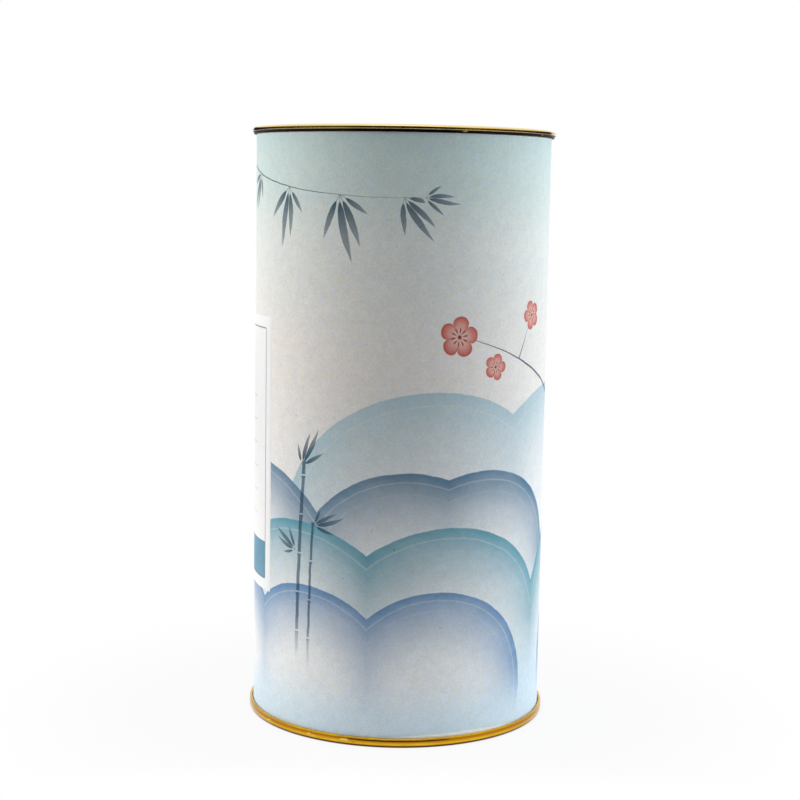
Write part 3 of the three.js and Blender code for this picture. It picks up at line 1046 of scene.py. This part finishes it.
# winds one sheet onto the wall, with angles in radians; a ramp beyond its end leaves it flat
def windSheet(name, material, sheet, start, span, radius, rise=0.0, ramp=(10.0, 11.0)):
    values = {
        "Start": start, "Span": span, "Radius": radius * mm, "Rise": rise * mm,
        "Ramp Start": ramp[0], "Ramp End": ramp[1],
        "Steps Around": sheet["steps"][0], "Steps Up": sheet["steps"][1], "Material": material,
    }
    for label in ("Bottom", "Height", "Thickness", "Edge", "Flare"):
        values[label] = sheet[label.lower()] * mm
    holder = bpy.data.objects.new(name + "Grower", bpy.data.meshes.new(name + "Grower"))
    scene.collection.objects.link(holder)
    grower = holder.modifiers.new("grower", "NODES")
    grower.node_group = sheetTree
    for item in sheetTree.interface.items_tree:
        if item.in_out == "INPUT":
            grower[item.identifier] = values[item.name]
    graph = bpy.context.evaluated_depsgraph_get()
    mesh = bpy.data.meshes.new_from_object(holder.evaluated_get(graph))
    holder.modifiers.remove(grower)
    bpy.data.objects.remove(holder)
    mesh.name = name
    return finishMesh(name, mesh, material)


def makeWrap():
    start = wrapSheet["startAngle"]
    end = wrapSheet["edgeAngle"] + 360.0
    ramp = [math.radians(start + 360.0 + before) for before in wrapSheet["ramp"]]
    return windSheet("printedWrap", printedPaper, wrapSheet, math.radians(start), math.radians(end - start),
                     wrapInner, overlapInner - wrapInner, ramp)


place(makeWrap(), "printed_wrap", "printed_paper")


def makeLabel():
    span = labelPrint["width"] / can["bodyRadius"]
    start = math.radians(labelPrint["angle"]) - span
    return windSheet("sideLabel", labelPaper, labelPrint, start, span, labelPrint["radius"])


place(makeLabel(), "side_label", "label_paper")


# Camera, light and floor

camera = {
    "distance": 0.5738,
    "height": 0.17902,
    "pitch": 7.109,  # degrees down
    "roll": 0.945,
    "lens": 74.988,
}


def makeCamera():
    lens = bpy.data.cameras.new("camera")
    lens.lens = camera["lens"]
    lens.sensor_width = 36.0
    lens.sensor_fit = "HORIZONTAL"
    holder = bpy.data.objects.new("camera", lens)
    aim = Matrix.Rotation(math.radians(90.0 - camera["pitch"]), 4, "X")
    roll = Matrix.Rotation(math.radians(camera["roll"]), 4, "Z")
    holder.matrix_world = Matrix.Translation((0.0, -camera["distance"], camera["height"])) @ aim @ roll
    scene.collection.objects.link(holder)
    scene.camera = holder


def makeSoftbox(name, spot, size, watts, mirrored=False, tint=(1.0, 1.0, 1.0)):
    lamp = bpy.data.lights.new(name, "AREA")
    lamp.shape = "RECTANGLE"
    lamp.size, lamp.size_y = size
    lamp.energy = watts
    lamp.color = tint
    holder = bpy.data.objects.new(name, lamp)
    holder.location = spot
    holder.rotation_euler = (Vector(studio["aim"]) - Vector(spot)).to_track_quat("-Z", "Y").to_euler()
    holder.visible_glossy = mirrored
    scene.collection.objects.link(holder)


studio = {
    "aim": (0.0, 0.0, 0.10),
    "pairs": (("side", 80.0, 7.5), ("back", 125.0, 5.0)),  # degrees from the front, watts
    "pairDistance": 0.95,
    "pairHeight": 0.38,
    "pairSize": (0.8, 0.66),
    "warm": (1.0, 0.965, 0.93),  # on the left
    "cool": (0.955, 0.98, 1.0),  # on the right
    "singles": (  # place, size, watts, whether the seams mirror it
        ("frontSoftbox", (0.0, -0.9, 0.2), (0.95, 0.36), 0.98, False),
        ("topStrip", (0.0, -0.9, 1.0), (1.1, 0.27), 1.2, True),
    ),
    "world": 0.01,
    "floor": ink(238, 238, 238),
    "floorFront": -0.11,  # just below the picture
    "floorSide": 0.26,
    "floorBack": 1.0,
    "contact": (0.0506, 0.0515, 0.0, 0.9),  # the floor glows from the first distance to the second
    "glow": (0.06, 0.16, 0.0, 0.1),  # and turns to plain white
    "frontGlow": (0.055, 0.09, 0.0, 0.1),  # sooner towards its front edge
    "flag": ink(8, 8, 8),
    "flagRadius": 1.3,
    "flagHeight": 0.46,
    "flagRise": 0.3,  # higher straight in front
    "flagAngle": (160, 146),  # to the left and to the right of the front
    "flagFoot": 0.2,  # lower edge, except straight in front
    "frontAngle": (40, 40),
    "frontFoot": -0.3,
    "clothHeight": -0.004,
}


def makeLights():
    reach = studio["pairDistance"]
    for pair, degrees, watts in studio["pairs"]:
        turn = math.radians(degrees)
        for name, side, tint in (("LeftSoftbox", -1, studio["warm"]), ("RightSoftbox", 1, studio["cool"])):
            spot = (side * reach * math.sin(turn), -reach * math.cos(turn), studio["pairHeight"])
            makeSoftbox(pair + name, spot, studio["pairSize"], watts, tint=tint)
    for single in studio["singles"]:
        makeSoftbox(*single)


# 1 for the rays that show the background
def backgroundRays(tree):
    rays = addNode(tree, "ShaderNodeLightPath")
    seen = Wire(tree, rays.outputs["Is Camera Ray"]).max(rays.outputs["Is Glossy Ray"])
    return seen.max(rays.outputs["Is Transmission Ray"])


def stagePiece(name, points, faces, colour):
    mesh = bpy.data.meshes.new(name)
    mesh.from_pydata(points, [], faces)
    material, tree, shader, spot = startMaterial(name)
    dim = tuple(0.985 * part for part in colour[:3]) + (1.0,)
    feed(tree, shader.inputs["Base Color"], mixColour(tree, noise(tree, spot, 3.0), dim, colour))
    shader.inputs["Roughness"].default_value = 0.85
    mesh.materials.append(material)
    piece = bpy.data.objects.new(name, mesh)
    scene.collection.objects.link(piece)
    return piece, tree, shader, spot


def makeFloor():
    side, front, back = studio["floorSide"], studio["floorFront"], studio["floorBack"]
    corners = [(-side, front, 0.0), (side, front, 0.0), (side, back, 0.0), (-side, back, 0.0)]
    _, tree, shader, spot = stagePiece("floor", corners, [(0, 1, 2, 3)], studio["floor"])
    x, y, _ = split(tree, spot)
    away = lengthOf(x, y)
    white = away.ramp(*studio["glow"]).max((y * -1.0).ramp(*studio["frontGlow"]))
    share = away.ramp(*studio["contact"]) + white
    glow = addNode(tree, "ShaderNodeEmission")
    blend = addNode(tree, "ShaderNodeMixShader")
    feed(tree, blend.inputs[0], backgroundRays(tree) * share)
    tree.links.new(shader.outputs[0], blend.inputs[1])
    tree.links.new(glow.outputs[0], blend.inputs[2])
    tree.links.new(blend.outputs[0], tree.nodes["Material Output"].inputs["Surface"])


# dark screens around the set and dark cloth under it, which the seams mirror
def makeFlag():
    points, faces = [], []

    def addScreen(reach, bottom, top, rise):
        first = len(points)
        for degrees in range(-reach[0], reach[1] + 1, 2):
            turn = math.radians(degrees)
            x, y = studio["flagRadius"] * math.sin(turn), -studio["flagRadius"] * math.cos(turn)
            points.extend([(x, y, bottom), (x, y, top + rise * max(math.cos(turn), 0.0) ** 4)])
        for low in range(first, len(points) - 2, 2):
            faces.append((low, low + 2, low + 3, low + 1))

    addScreen(studio["flagAngle"], studio["flagFoot"], studio["flagHeight"], studio["flagRise"])
    addScreen(studio["frontAngle"], studio["frontFoot"], studio["flagFoot"], 0.0)
    side, low = studio["flagRadius"], studio["clothHeight"]
    cloth = len(points)
    points += [(-side, -side, low), (side, -side, low), (side, side, low), (-side, side, low)]
    faces.append((cloth, cloth + 1, cloth + 2, cloth + 3))
    flag, *_ = stagePiece("darkFlag", points, faces, studio["flag"])
    flag.visible_camera = False


def makeWorld():
    world = bpy.data.worlds.new("studioWorld")
    world.use_nodes = True
    scene.world = world
    tree = world.node_tree
    sky = tree.nodes["Background"]
    feed(tree, sky.inputs["Strength"], backgroundRays(tree).ramp(0.0, 1.0, studio["world"], 1.0, "LINEAR"))
    sky.inputs["Color"].default_value = (1.0, 1.0, 1.0, 1.0)


makeCamera()
makeLights()
makeFloor()
makeFlag()
makeWorld()
print("stage set")
